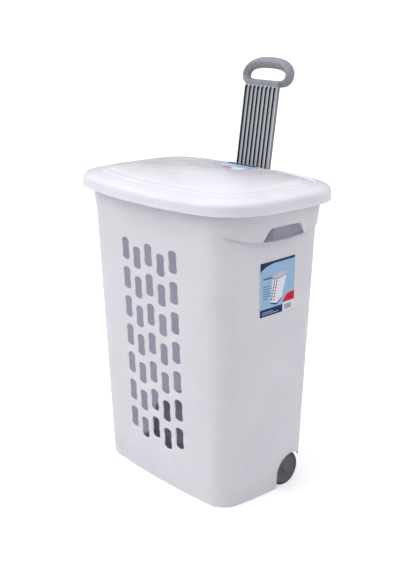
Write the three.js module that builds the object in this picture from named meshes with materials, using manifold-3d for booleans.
// Wheeled laundry hamper with a lift-off lid and a pull-up handle.
// Millimetres, +Z up. The origin is on the floor at the middle of the tub:
// the vented front faces -Y, the hand-holes are at +X and -X, and the wheels
// and the pull handle are at the back, +Y.
import * as THREE from 'three';
import { mergeVertices } from 'three/addons/utils/BufferGeometryUtils.js';
import Module from 'manifold-3d';

// ---- driving dimensions ----

const GAP = 0.3; // between pieces that touch
const WALL = 2.5; // moulded wall of the tub and the lid

// Tub: a bowed rounded rectangle that widens from the floor to the rim.
const TUB_FLOOR = { halfLength: 200.9, halfWidth: 128.2, corner: 46.5, endBow: 6.2, sideBow: 11 };
const TUB_RIM = { halfLength: 223.1, halfWidth: 151.7, corner: 59.2, endBow: 6.2, sideBow: 11 };
const RIM_Z = 632; // underside of the rim flange
const FLANGE = 3; // thickness of the rim flange
const FLANGE_LIP = { inset: 4, thick: 2.2, high: 7 }; // inset is from the lid's edge
const FLOOR = 3; // thickness of the tub floor
const FOOT_ROUND = 4; // rounding of the bottom edge
const FOOT_STEPS = [[0, 1], [0.3, 0.3], [1, 0]]; // [height, inset] along that rounding, as shares of it

// Flared ends, which carry the hand-holes: each stands out above a smile-shaped
// crease, leans outwards, and has rounder corners than the tub.
const CREASE_LOW = 552;
const CREASE_RADIUS = 400;
const CREASE_REACH = 230; // how far the crease's arc is drawn each way, past the corners
const CREASE_EDGE = [[0, 3], [0.9, 0.9], [3, 0]]; // [inset, rise] steps of the rounded lower edge
const FLARE_STEP = 15.5; // how far the flare stands out at the lowest point of the crease
const FLARE_SLOPE = 0.17; // outward lean of the flare, per unit of height
const FLARE_ROUNDING = 17; // how much larger its corner radius is than the tub's
const FLARE_RUN_IN = 12; // how far under the crease the flare's own skin starts
const HOLE = { middle: 4, top: 585, ledge: 3.5, lowHalf: 56, topHalf: 48, round: 16 };
const HOLE_LIP = 230; // how far in, along X, the turned-in lip of the hole reaches

// Vents: columns of waisted slots, every other column set lower.
const VENT = { halfWidth: 11.9, waist: 10.6, halfHeight: 23.4 };
const VENT_COLUMNS = 5;
const VENT_ROWS = 7;
const VENT_PITCH_X = 38.2;
const VENT_PITCH_Z = 63.5;
const VENT_TOP_Z = 504.6;
const VENT_DROP = 13.5;
const VENT_CUT_TO = -90; // how far back, along Y, the cuts for the vents reach

// Lid.
const LID = { halfLength: 265.8, halfWidth: 188.3, corner: 113.6, endBow: 22.4, sideBow: 44.2 };
const SKIRT_Z = 620; // bottom edge of the lid skirt
const CROWN_Z = 656.5; // flat top of the lid
const NOTCH = { halfWidth: 51.9, front: 131, round: 8 };
// A rib under the lid that fits inside the tub's mouth, left out where the handle's recess is.
const LID_RIB = { inset: 4.5, thick: 2, below: 8, gapHalf: 72, gapFront: 110 };

// Pull handle: everything on it is set out along its leaning slide axis.
const HANDLE_LEAN = Math.atan(0.143);
const HANDLE_Y = 137.2; // strap mid-plane at the height of the lid skirt
const TRAVEL = 165;
const STRAP = { fins: 9, pitch: 12.27, fin: 1.8, thick: 7, plate: 3, bottom: -85, top: 204.5 };
const TONGUE = { inset: 2, root: 5, reach: 8 }; // the strap's back plate runs on into the grip
const STOP_OUT = 5; // how far the stop at the strap's foot stands out behind it
// The grip is a ring, leaning back from the strap, with a bar flush with the fins.
// Heights are above the strap's top, square to the ring's own depth.
const GRIP = {
  halfWidth: 74.5, widest: 24.8, foot: -2.6, footHalf: 48, arch: 60.3, thick: 20.8, bevel: 6,
  lean: 0.175, back: 8,
};
const GRIP_OPENING = { halfWidth: 53.5, bottom: 11.6, bottomHalf: 42, top: 36.3 };
const GRIP_BAR = 11;
// The plate that closes the back of the recess round the strap, and its screws.
const GUIDE = {
  bottom: -66, top: -16, thick: 4, slack: 0.6, rib: 3, ribX: [-18, 0, 18], ribEnd: 6,
  screwX: 56.5, screwS: [-56, -26], boss: 4,
};
const SCREW = {
  shank: 2, head: 4.4, headHigh: 2.2, length: 13, slotHalf: 0.5, slotReach: 2.4, slotDeep: 1.2,
};

// Wheels and the bay that they sit in.
const WHEEL = { radius: 38.2, width: 22, face: 196.5, y: 60 };
const AXLE_RADIUS = 4;
const ARCH = { y: 73, z: 31, radius: 42, backEdge: 47 };
const BAY_CLEARANCE = 5;
const HANGER = { thick: 4, halfTop: 13, halfEye: 10, x: [-165, -60, 60, 165] };

// Labels.
const LABEL = 0.4; // thickness
const SIDE_LABEL = { y: 5.7, z: 458.5, width: 97, height: 113.4, tilt: 0.035 };
const LID_LABEL = { x: -12, y: 100, width: 90, depth: 60 };

// ---- materials ----

const finish = (color, roughness, metalness = 0) =>
  new THREE.MeshStandardMaterial({ color, roughness, metalness });
const WHITE = finish(0xe2e1e8, 0.45);
const LID_WHITE = finish(0xf0f0f6, 0.3);
const HANDLE_GREY = finish(0x9196a0, 0.4);
const WHEEL_GREY = finish(0x565b5e, 0.5);
const TYRE_GREY = finish(0x2a2c30, 0.7);
const STEEL = finish(0xb4b6ba, 0.35, 1);
const PAPER = finish(0x6f9cc4, 0.4);

// Cutting shapes run from PAST_LEFT to PAST_RIGHT, clear of the object's sides, start
// at BELOW, clear of the floor, and end at PAST_BACK, clear of the foot of the back
// wall, or at PAST_LID, clear of the lid. Those at the front start at PAST_FRONT.
const PAST_LEFT = -300;
const PAST_RIGHT = 300;
const PAST_FRONT = -200;
const PAST_BACK = 160;
const PAST_LID = 320;
const BELOW = -5;
const ABOVE_RIM = 20; // by which the tub's inside runs past its rim

// ---- solids ----

const wasm = await Module();
wasm.setup();

// A closed three.js geometry as a solid that can be joined and cut.
function solid(geometry) {
  const bare = geometry.clone();
  bare.deleteAttribute('normal');
  bare.deleteAttribute('uv');
  const merged = mergeVertices(bare, 1e-4);
  return new wasm.Manifold(new wasm.Mesh({
    numProp: 3,
    vertProperties: new Float32Array(merged.attributes.position.array),
    triVerts: new Uint32Array(merged.index.array),
  }));
}

function toGeometry(manifold) {
  const { vertProperties, triVerts } = manifold.getMesh();
  const geometry = new THREE.BufferGeometry();
  geometry.setAttribute('position', new THREE.BufferAttribute(vertProperties, 3));
  geometry.setIndex(new THREE.BufferAttribute(triVerts, 1));
  geometry.computeVertexNormals();
  return geometry;
}

function piece(name, shape, material) {
  const geometry = shape.isBufferGeometry ? shape : toGeometry(shape);
  const mesh = new THREE.Mesh(geometry, material);
  mesh.name = name;
  return mesh;
}

const join = (first, ...rest) => rest.reduce((sum, next) => sum.add(next), first);
const cut = (first, ...rest) => rest.reduce((sum, next) => sum.subtract(next), first);

// A box from its lowest to its highest corner.
function box(low, high) {
  const geometry = new THREE.BoxGeometry(high[0] - low[0], high[1] - low[1], high[2] - low[2]);
  const middle = low.map((value, axis) => (value + high[axis]) / 2);
  return solid(geometry.translate(...middle));
}

// A flat shape drawn in Y and Z, run along X from x0 to x1.
function runAlongX(shape, x0, x1, curveSegments = 6) {
  const settings = { depth: x1 - x0, bevelEnabled: false, curveSegments };
  const geometry = new THREE.ExtrudeGeometry(shape, settings);
  const turn = new THREE.Matrix4().makeBasis(
    new THREE.Vector3(0, 1, 0), new THREE.Vector3(0, 0, 1), new THREE.Vector3(1, 0, 0));
  return solid(geometry.applyMatrix4(turn).translate(x0, 0, 0));
}

// A flat shape drawn in X and Z, run along Y from y0 to y1.
function runAlongY(shape, y0, y1, curveSegments = 6) {
  const settings = { depth: y1 - y0, bevelEnabled: false, curveSegments };
  const geometry = new THREE.ExtrudeGeometry(shape, settings);
  const turn = new THREE.Matrix4().makeBasis(
    new THREE.Vector3(1, 0, 0), new THREE.Vector3(0, 0, 1), new THREE.Vector3(0, -1, 0));
  return solid(geometry.applyMatrix4(turn).translate(0, y1, 0));
}

// A round solid turned about X: profile points are [radius, x].
function turnedAboutX(profile, segments = 36) {
  const points = profile.map(([radius, x]) => new THREE.Vector2(radius, x));
  const geometry = new THREE.LatheGeometry(points, segments);
  return solid(geometry.rotateZ(-Math.PI / 2));
}

function drawn(points) {
  return new THREE.Shape(points.map(([x, y]) => new THREE.Vector2(x, y)));
}

// ---- outlines ----

// Points along an arc, without its last one.
function arc(cx, cy, radius, from, to, steps) {
  return Array.from({ length: steps }, (_, i) => {
    const angle = from + ((to - from) * i) / steps;
    return [cx + radius * Math.cos(angle), cy + radius * Math.sin(angle)];
  });
}

// A rounded rectangle whose four sides are bowed arcs, as one ring of points.
// Each quarter is a side arc, a corner arc that touches both, and a long arc.
function outline({ halfLength, halfWidth, corner, endBow, sideBow }, inset = 0) {
  const endRadius = (halfWidth ** 2 + endBow ** 2) / (2 * endBow);
  const sideRadius = (halfLength ** 2 + sideBow ** 2) / (2 * sideBow);
  const ex = halfLength - endRadius;
  const sy = halfWidth - sideRadius;
  // The corner centre is endRadius - corner from (ex, 0) and sideRadius - corner from (0, sy).
  const span = Math.hypot(ex, sy);
  const a = endRadius - corner;
  const b = sideRadius - corner;
  const along = (a * a - b * b + span * span) / (2 * span);
  const off = Math.sqrt(a * a - along * along);
  const ux = -ex / span;
  const uy = sy / span;
  const qx = ex + along * ux - off * uy;
  const qy = along * uy + off * ux;
  const endAngle = Math.atan2(qy, qx - ex);
  const sideAngle = Math.atan2(qy - sy, qx);
  const quarter = [
    ...arc(ex, 0, endRadius - inset, 0, endAngle, 3),
    ...arc(qx, qy, corner - inset, endAngle, sideAngle, 6),
    ...arc(0, sy, sideRadius - inset, sideAngle, Math.PI / 2, 4),
    [0, halfWidth - inset],
  ];
  const back = quarter.concat(quarter.slice(0, -1).reverse().map(([x, y]) => [-x, y]));
  const front = back.slice(1, -1).reverse().map(([x, y]) => [x, -y]);
  return back.concat(front);
}

// A closed skin through rings of points: each ring is {ring, z}, lowest first.
function loft(rings) {
  const count = rings[0].ring.length;
  const positions = rings.flatMap(({ ring, z }) => ring.flatMap(([x, y]) => [x, y, z]));
  const last = rings.length - 1;
  positions.push(0, 0, rings[0].z, 0, 0, rings[last].z);
  const bottomHub = count * rings.length;
  const topHub = bottomHub + 1;
  const faces = [];
  for (let i = 0; i < count; i += 1) {
    const j = (i + 1) % count;
    for (let level = 0; level < last; level += 1) {
      const low = level * count;
      const high = low + count;
      faces.push(low + i, low + j, high + j, low + i, high + j, high + i);
    }
    faces.push(bottomHub, j, i, topHub, last * count + i, last * count + j);
  }
  const geometry = new THREE.BufferGeometry();
  geometry.setAttribute('position', new THREE.Float32BufferAttribute(positions, 3));
  geometry.setIndex(faces);
  return solid(geometry);
}

// The tub's outline dimensions at a height.
function tubAt(z) {
  const t = z / RIM_Z;
  const mix = (key) => TUB_FLOOR[key] + (TUB_RIM[key] - TUB_FLOOR[key]) * t;
  return {
    halfLength: mix('halfLength'), halfWidth: mix('halfWidth'), corner: mix('corner'),
    endBow: mix('endBow'), sideBow: mix('sideBow'),
  };
}

// The flared outline at a height: longer than the tub, with ends that bow back
// to the tub's corners, and 1 mm inside it along the front and back.
function flareAt(z) {
  const tub = tubAt(z);
  const step = FLARE_STEP + tubAt(CREASE_LOW).halfLength - tub.halfLength;
  const reach = step + FLARE_SLOPE * (z - CREASE_LOW);
  return {
    ...tub,
    halfLength: tub.halfLength + reach,
    halfWidth: tub.halfWidth - 1,
    endBow: tub.endBow + reach,
    corner: tub.corner + FLARE_ROUNDING,
  };
}

// The space above the smile-shaped crease, raised by a given amount.
function aboveCrease(raise) {
  const low = CREASE_LOW + raise;
  const half = Math.asin(CREASE_REACH / CREASE_RADIUS);
  const down = -Math.PI / 2;
  const smile = arc(0, low + CREASE_RADIUS, CREASE_RADIUS, down - half, down + half, 24);
  const top = RIM_Z + CREASE_REACH;
  return runAlongX(drawn([...smile, [CREASE_REACH, top], [-CREASE_REACH, top]]), PAST_LEFT, PAST_RIGHT);
}

// The flare as a solid up to a height, inset from its surface and raised off the crease.
function flare(inset, raise, top) {
  const heights = [CREASE_LOW - FLARE_RUN_IN, top];
  const skin = loft(heights.map((z) => ({ ring: outline(flareAt(z), inset), z })));
  return skin.intersect(aboveCrease(raise));
}

// ---- tub ----

// The hand-hole: its lower edge follows the crease and its ends lean inwards.
function holeShape(grow) {
  const { middle, top, ledge, lowHalf, topHalf, round } = HOLE;
  const low = CREASE_LOW + ledge - grow;
  const lean = Math.atan2(lowHalf - topHalf, top - low);
  const angleAt = (y) => Math.asin(y / CREASE_RADIUS) - Math.PI / 2;
  const [from, to] = [angleAt(middle - lowHalf - grow), angleAt(middle + lowHalf + grow)];
  const bottom = arc(0, low + CREASE_RADIUS, CREASE_RADIUS, from, to, 8);
  const end = [middle + lowHalf + grow, low + CREASE_RADIUS * (1 + Math.sin(to))];
  const corner = arc(topHalf - round, top - round, round + grow, lean, Math.PI / 2, 5);
  const right = [...corner, [topHalf - round, top + grow]];
  const left = right.map(([y, z]) => [-y, z]).reverse();
  return drawn([...bottom, end, ...[...right, ...left].map(([y, z]) => [middle + y, z])]);
}

// A vent: half-round ends joined by sides that draw in to a waist.
function ventShape(cx, cz) {
  const { halfWidth, waist, halfHeight } = VENT;
  const straight = halfHeight - halfWidth;
  const steps = 4;
  const side = Array.from({ length: steps }, (_, i) => {
    const t = -1 + (2 * i) / steps;
    return [(halfWidth + waist) / 2 - ((halfWidth - waist) / 2) * Math.cos(Math.PI * t), t * straight];
  });
  const end = arc(0, straight, halfWidth, 0, Math.PI, 6);
  const half = [...side, ...end];
  const whole = half.concat(half.map(([x, z]) => [-x, -z]));
  return drawn(whole.map(([x, z]) => [cx + x, cz + z]));
}

function vents() {
  const slots = [];
  for (let column = 0; column < VENT_COLUMNS; column += 1) {
    const x = (column - (VENT_COLUMNS - 1) / 2) * VENT_PITCH_X;
    const drop = (column % 2) * VENT_DROP;
    for (let row = 0; row < VENT_ROWS; row += 1) {
      slots.push(runAlongY(ventShape(x, VENT_TOP_Z - drop - row * VENT_PITCH_Z), PAST_FRONT, VENT_CUT_TO));
    }
  }
  return slots;
}

// The arch that the side walls leave open round the wheels, run right across.
function archCut() {
  const { y, z, radius, backEdge } = ARCH;
  const front = y - radius;
  const over = arc(y, z, radius, Math.PI / 6, Math.PI, 10);
  const shape = drawn([[front, BELOW], [PAST_BACK, BELOW], [PAST_BACK, backEdge], ...over, [front, z]]);
  return runAlongX(shape, PAST_LEFT, PAST_RIGHT);
}

// The wheel bay behind the side walls, in profile, grown by a wall for the tub's inside.
function bay(grow) {
  const radius = WHEEL.radius + BAY_CLEARANCE + grow;
  const over = arc(WHEEL.y, WHEEL.radius, radius, Math.PI / 2, Math.PI, 8);
  const front = WHEEL.y - radius;
  const roof = WHEEL.radius + radius;
  const foot = [[front, BELOW], [PAST_BACK, BELOW], [PAST_BACK, roof]];
  return runAlongX(drawn([...foot, ...over, [front, WHEEL.radius]]), PAST_LEFT, PAST_RIGHT);
}

// Hanging plates in the bay that carry the axle.
function axleHangers() {
  const { thick, halfTop, halfEye, x } = HANGER;
  const top = WHEEL.radius + WHEEL.radius + BAY_CLEARANCE + WALL / 2;
  const shape = new THREE.Shape();
  shape.moveTo(WHEEL.y + halfTop, top);
  shape.lineTo(WHEEL.y - halfTop, top);
  shape.lineTo(WHEEL.y - halfEye, WHEEL.radius);
  shape.absarc(WHEEL.y, WHEEL.radius, halfEye, Math.PI, 2 * Math.PI, false);
  const hole = new THREE.Path();
  hole.absarc(WHEEL.y, WHEEL.radius, AXLE_RADIUS + GAP, 0, 2 * Math.PI, true);
  shape.holes.push(hole);
  return x.map((middle) => runAlongX(shape, middle - thick / 2, middle + thick / 2, 12));
}

// ---- handle set-out ----

// Boxes in the handle's own leaning frame, moved into the tub's frame.
const handlePlace = new THREE.Matrix4().makeRotationX(-HANDLE_LEAN).setPosition(0, HANDLE_Y, SKIRT_Z);
const leaning = (manifold) => manifold.transform(handlePlace.elements);

const STRAP_HALF = ((STRAP.fins - 1) * STRAP.pitch + STRAP.fin) / 2;
const FACE = STRAP.thick / 2;
const CHANNEL_HALF = STRAP_HALF + 1;
const CHANNEL_FRONT = -FACE - 1.2;
const RAIL_BACK = FACE + 0.8; // the faces that the guide plate is screwed to
const POCKET_HALF = 62;
const CHANNEL_BOTTOM = STRAP.bottom - TRAVEL - 7;
const RECESS_BACK = 90; // clear of the tub's back wall
const RECESS_TOP = 60; // clear of the rim

// The recess in the back wall: a channel as wide as the strap, open at the back
// through a wider pocket. grow thickens it all round for the tub's inside.
function recess(grow) {
  const low = CHANNEL_BOTTOM - grow;
  const open = (halfWidth, front) => {
    const half = halfWidth + grow;
    return box([-half, front - grow, low], [half, RECESS_BACK, RECESS_TOP]);
  };
  return leaning(join(open(CHANNEL_HALF, CHANNEL_FRONT), open(POCKET_HALF, RAIL_BACK)));
}

// Solid ground behind the rails for the guide plate's screws.
function screwBosses() {
  const half = POCKET_HALF + WALL;
  const low = [-half, CHANNEL_FRONT - WALL, GUIDE.bottom - GUIDE.boss];
  return leaning(box(low, [half, RECESS_BACK, GUIDE.top + GUIDE.boss]));
}

// Where each guide screw goes, in the handle's frame, named by its corner.
const screwPlaces = GUIDE.screwS.flatMap((s, row) => [-1, 1].map((side) => ({
  name: `guide_screw_${row ? 'upper' : 'lower'}_${side < 0 ? 'left' : 'right'}`, x: side * GUIDE.screwX, s,
})));

// A round rod along the handle frame's Y, from y0 to y1.
function rodAlongY(x, s, radius, y0, y1, segments = 12) {
  const rod = new THREE.CylinderGeometry(radius, radius, y1 - y0, segments);
  return solid(rod.translate(x, (y0 + y1) / 2, s));
}

// ---- body of the hamper ----

// The flat flange round the rim, and the lip that turns down from its edge.
function rimFlange() {
  const { inset, thick, high } = FLANGE_LIP;
  const ring = (distance, z) => ({ ring: outline(LID, distance), z });
  const flange = loft([ring(inset, RIM_Z), ring(inset, RIM_Z + FLANGE)]);
  const lip = loft([ring(inset, RIM_Z - high), ring(inset, RIM_Z)]);
  const hollow = loft([ring(inset + thick, RIM_Z - high - 1), ring(inset + thick, RIM_Z + 1)]);
  return [flange, lip.subtract(hollow)];
}

function hamperBody() {
  const foot = FOOT_STEPS.map(([height, inset]) => {
    const z = FOOT_ROUND * height;
    return { ring: outline(tubAt(z), FOOT_ROUND * inset), z };
  });
  const outer = loft([...foot, { ring: outline(tubAt(RIM_Z)), z: RIM_Z }]);
  const mouth = RIM_Z + ABOVE_RIM;
  const inner = loft([
    { ring: outline(tubAt(FLOOR), WALL + FOOT_ROUND), z: FLOOR },
    { ring: outline(tubAt(FLOOR + FOOT_ROUND), WALL), z: FLOOR + FOOT_ROUND },
    { ring: outline(tubAt(mouth), WALL), z: mouth },
  ]);
  const hull = join(outer, ...CREASE_EDGE.map(([inset, rise]) => flare(inset, rise, RIM_Z)));
  const inside = join(inner, flare(WALL, WALL, mouth));
  const cavity = cut(inside, bay(WALL), recess(WALL), screwBosses());
  const lips = [[PAST_LEFT, -HOLE_LIP], [HOLE_LIP, PAST_RIGHT]].map(([x0, x1]) =>
    runAlongX(holeShape(WALL), x0, x1).intersect(hull));
  const shell = join(cut(join(hull, ...rimFlange()), cavity), ...lips);

  const underFlange = recess(0).intersect(box([PAST_LEFT, 0, 0], [PAST_RIGHT, PAST_LID, RIM_Z]));
  const slot = leaning(box([-CHANNEL_HALF, CHANNEL_FRONT, 0], [CHANNEL_HALF, RAIL_BACK, RECESS_TOP]));
  const holeEnd = RAIL_BACK - SCREW.length + 2;
  const screwHoles = screwPlaces.map(({ x, s }) =>
    leaning(rodAlongY(x, s, SCREW.shank + GAP, holeEnd, RAIL_BACK + GAP)));
  const handHoles = runAlongX(holeShape(0), PAST_LEFT, PAST_RIGHT);
  const wheelBay = inner.intersect(bay(0));
  const opened = cut(shell, archCut(), wheelBay, underFlange, slot, handHoles, ...screwHoles, ...vents());
  return join(opened, ...axleHangers());
}

// ---- lid ----

// Section of the lid from the skirt edge to the crown: [inset from the edge, z].
const LID_OUTSIDE = [
  [0, SKIRT_Z], [0.3, SKIRT_Z + 14], [1.6, SKIRT_Z + 19.5], [5, SKIRT_Z + 23.5], [11, SKIRT_Z + 26.2],
  [24, SKIRT_Z + 29.6], [33, SKIRT_Z + 31], [36, SKIRT_Z + 29.4], [39, SKIRT_Z + 31.2], [44, SKIRT_Z + 33.8],
  [62, CROWN_Z],
];
const LID_INSIDE = [
  [WALL, SKIRT_Z - 5], [WALL + 0.3, RIM_Z + FLANGE + GAP], [11, RIM_Z + FLANGE + GAP], [12, SKIRT_Z + 23],
  [24, SKIRT_Z + 26.6], [36, SKIRT_Z + 26.8], [62, CROWN_Z - WALL],
];

function lid() {
  const skin = (section) => loft(section.map(([inset, z]) => ({ ring: outline(LID, inset), z })));
  const outside = skin(LID_OUTSIDE);
  const shell = outside.subtract(skin(LID_INSIDE));
  const { inset, thick, below, gapHalf, gapFront } = LID_RIB;
  const ribSkin = (distance) => loft([
    { ring: outline(TUB_RIM, distance), z: RIM_Z - below },
    { ring: outline(TUB_RIM, distance), z: CROWN_Z },
  ]);
  const rib = ribSkin(inset).subtract(ribSkin(inset + thick)).intersect(outside)
    .subtract(box([-gapHalf, gapFront, 0], [gapHalf, PAST_LID, CROWN_Z]));
  const { halfWidth, front, round } = NOTCH;
  const notch = new THREE.Shape();
  notch.moveTo(-halfWidth, PAST_LID);
  notch.lineTo(-halfWidth, front + round);
  notch.absarc(-halfWidth + round, front + round, round, Math.PI, 1.5 * Math.PI, false);
  notch.absarc(halfWidth - round, front + round, round, 1.5 * Math.PI, 2 * Math.PI, false);
  notch.lineTo(halfWidth, PAST_LID);
  const settings = { depth: CROWN_Z + 1, bevelEnabled: false, curveSegments: 4 };
  return shell.add(rib).subtract(solid(new THREE.ExtrudeGeometry(notch, settings)));
}

// ---- handle ----

// The strap's section: a back plate with thin fins standing forward.
function strapSection() {
  const { fins, pitch, fin, plate } = STRAP;
  const points = [[STRAP_HALF, FACE], [-STRAP_HALF, FACE]];
  for (let i = 0; i < fins; i += 1) {
    const left = -STRAP_HALF + i * pitch;
    if (i > 0) points.push([left, FACE - plate]);
    points.push([left, -FACE], [left + fin, -FACE]);
    if (i < fins - 1) points.push([left + fin, FACE - plate]);
  }
  return drawn(points);
}

function strap() {
  const { bottom, top, plate } = STRAP;
  const { inset, root, reach } = TONGUE;
  const settings = { depth: top - GAP - bottom, bevelEnabled: false };
  const finned = new THREE.ExtrudeGeometry(strapSection(), settings);
  const half = STRAP_HALF - inset;
  const tongue = box([-half, FACE - plate, top - root], [half, FACE, top + reach]);
  const stopTop = GUIDE.bottom - GUIDE.slack;
  const stop = box([-STRAP_HALF, -FACE + GAP, bottom], [STRAP_HALF, FACE + STOP_OUT, stopTop]);
  return join(solid(finned.translate(0, 0, bottom)), tongue, stop);
}

// The ring of the grip seen from the front: an arch over a nearly straight foot.
function gripOutline() {
  const { halfWidth, widest, foot, footHalf, arch } = GRIP;
  const shape = new THREE.Shape();
  shape.moveTo(-footHalf, foot);
  shape.lineTo(footHalf, foot);
  shape.bezierCurveTo(footHalf + 12, foot, halfWidth, 6, halfWidth, widest);
  shape.bezierCurveTo(halfWidth, 46, 46, arch, 0, arch);
  shape.bezierCurveTo(-46, arch, -halfWidth, 46, -halfWidth, widest);
  shape.bezierCurveTo(-halfWidth, 6, -footHalf - 12, foot, -footHalf, foot);
  return shape;
}

function gripOpening() {
  const { halfWidth, bottom, bottomHalf, top } = GRIP_OPENING;
  const path = new THREE.Path();
  path.moveTo(-bottomHalf, bottom);
  path.bezierCurveTo(-bottomHalf - 8, bottom, -halfWidth, 16, -halfWidth, GRIP.widest);
  path.bezierCurveTo(-halfWidth, 30.5, -38, top, 0, top);
  path.bezierCurveTo(38, top, halfWidth, 30.5, halfWidth, GRIP.widest);
  path.bezierCurveTo(halfWidth, 16, bottomHalf + 8, bottom, bottomHalf, bottom);
  return path;
}

function grip() {
  const { thick, bevel, lean, back } = GRIP;
  const { top, plate } = STRAP;
  const shape = gripOutline();
  shape.holes.push(gripOpening());
  const ring = new THREE.ExtrudeGeometry(shape, {
    depth: thick - 2 * bevel, curveSegments: 7, bevelThickness: bevel, bevelSize: bevel, bevelOffset: -bevel,
    bevelSegments: 3,
  });
  const upright = new THREE.Matrix4().makeRotationX(Math.PI / 2);
  ring.translate(0, 0, bevel - thick / 2).applyMatrix4(upright).rotateX(-lean).translate(0, back, top);
  const bar = box([-STRAP_HALF + GAP, -FACE, top], [STRAP_HALF - GAP, FACE, top + GRIP_BAR]);
  const roomHalf = STRAP_HALF + GAP;
  const strapRoom = box([-roomHalf, -FACE - thick, top - thick], [roomHalf, FACE + GAP, top]);
  const half = STRAP_HALF - TONGUE.inset + GAP;
  const socketTop = top + TONGUE.reach + GAP;
  const socket = box([-half, FACE - plate - GAP, top - GAP], [half, FACE + GAP, socketTop]);
  return cut(join(solid(ring), bar), strapRoom, socket);
}

function guidePlate() {
  const { bottom, top, thick, slack, rib, ribX, ribEnd } = GUIDE;
  const front = RAIL_BACK + GAP;
  const back = front + thick;
  const half = POCKET_HALF - slack;
  const plate = box([-half, front, bottom], [half, back, top]);
  const ribs = ribX.map((x) =>
    box([x - rib / 2, front + 1, bottom + ribEnd], [x + rib / 2, back + rib, top - ribEnd]));
  const holes = screwPlaces.map(({ x, s }) => rodAlongY(x, s, SCREW.shank + GAP, front - 1, back + 1));
  return cut(join(plate, ...ribs), ...holes);
}

function guideScrew({ x, s }) {
  const { shank, head, headHigh, length, slotHalf, slotReach, slotDeep } = SCREW;
  const seat = RAIL_BACK + GAP + GUIDE.thick + GAP;
  const crown = seat + headHigh;
  const slot = (across, up) =>
    box([x - across, crown - slotDeep, s - up], [x + across, crown + 1, s + up]);
  const cross = join(slot(slotReach, slotHalf), slot(slotHalf, slotReach));
  const body = join(rodAlongY(x, s, shank, seat - length, seat + 1), rodAlongY(x, s, head, seat, crown, 20));
  return body.subtract(cross);
}

// ---- wheels ----

// Profiles are [radius, distance inwards from the wheel's outer face].
const HUB_PROFILE = [
  [AXLE_RADIUS + GAP, 0], [9, 0], [10, 1.8], [29.5, 2.6], [31, 0.6], [32.6, 0.6], [33, 1.4],
  [33, WHEEL.width - 1], [29, WHEEL.width - 1], [29, 9], [9, 9], [9, WHEEL.width],
  [AXLE_RADIUS + GAP, WHEEL.width],
];
const TYRE_PROFILE = [
  [33 + GAP, 1.2], [35.4, 1.2], [37.4, 2.6], [WHEEL.radius, 5], [WHEEL.radius, WHEEL.width - 5],
  [37.4, WHEEL.width - 2], [35, WHEEL.width - 0.8], [33 + GAP, WHEEL.width - 0.8],
];
const CAP_PROFILE = [[0, -1.9], [4, -1.7], [7.2, -0.9], [8, -GAP], [0, -GAP]];

// One of those profiles as a wheel piece on the left (-1) or right (1) of the axle.
function wheelPart(profile, side, segments = 40) {
  const atRight = profile.map(([radius, inwards]) => [radius, WHEEL.face - inwards]).reverse();
  const closed = profile[0][0] === 0 ? atRight : [...atRight, atRight[0]];
  const right = turnedAboutX(closed, segments);
  const placed = side > 0 ? right : right.mirror([1, 0, 0]);
  return placed.translate([0, WHEEL.y, WHEEL.radius]);
}

function axle() {
  const half = WHEEL.face - 0.2;
  return turnedAboutX([[0, -half], [AXLE_RADIUS, -half], [AXLE_RADIUS, half], [0, half]], 20)
    .translate([0, WHEEL.y, WHEEL.radius]);
}

// ---- labels ----

// A thin sheet that lies on the bowed right-hand wall, tilted a little towards the back.
function sideLabel() {
  const wall = (y, z) => {
    const { halfLength, halfWidth, endBow } = tubAt(z);
    const radius = (halfWidth ** 2 + endBow ** 2) / (2 * endBow);
    return halfLength - radius + Math.sqrt(radius ** 2 - y ** 2);
  };
  const { y: middle, z, width, height, tilt } = SIDE_LABEL;
  const steps = 6;
  const strip = Array.from({ length: steps + 1 }, (_, i) => width * (i / steps - 0.5));
  const across = (out) => strip.map((y) => [wall(middle + y, z) + out, y]);
  const ring = [...across(GAP + LABEL), ...across(GAP).reverse()];
  const geometry = new THREE.ExtrudeGeometry(drawn(ring), { depth: height, bevelEnabled: false });
  const lean = (wall(middle, z + height / 2) - wall(middle, z - height / 2)) / height;
  const onWall = new THREE.Matrix4().makeShear(0, 0, 0, tilt, lean, -tilt);
  return solid(geometry.translate(0, 0, -height / 2).applyMatrix4(onWall).translate(0, middle, z));
}

function lidLabel() {
  const { x, y, width, depth } = LID_LABEL;
  return new THREE.BoxGeometry(width, depth, LABEL).translate(x, y, CROWN_Z + GAP + LABEL / 2);
}

// ---- the hamper ----

const hamper = new THREE.Group();
hamper.add(piece('hamper_body', hamperBody(), WHITE));
hamper.add(piece('lid', lid(), LID_WHITE));
hamper.add(piece('lid_label', lidLabel(), PAPER));
hamper.add(piece('side_label', sideLabel(), PAPER));

const handle = new THREE.Group();
handle.applyMatrix4(handlePlace);
handle.add(piece('handle_strap', strap(), HANDLE_GREY));
handle.add(piece('handle_grip', grip(), HANDLE_GREY));
handle.add(piece('handle_guide_plate', guidePlate(), HANDLE_GREY));
screwPlaces.forEach((place) => handle.add(piece(place.name, guideScrew(place), STEEL)));
hamper.add(handle);

hamper.add(piece('wheel_axle', axle(), STEEL));
[['left', -1], ['right', 1]].forEach(([name, side]) => {
  hamper.add(piece(`wheel_${name}`, wheelPart(HUB_PROFILE, side), WHEEL_GREY));
  hamper.add(piece(`tyre_${name}`, wheelPart(TYRE_PROFILE, side), TYRE_GREY));
  hamper.add(piece(`axle_cap_${name}`, wheelPart(CAP_PROFILE, side, 24), WHEEL_GREY));
});

export default hamper;
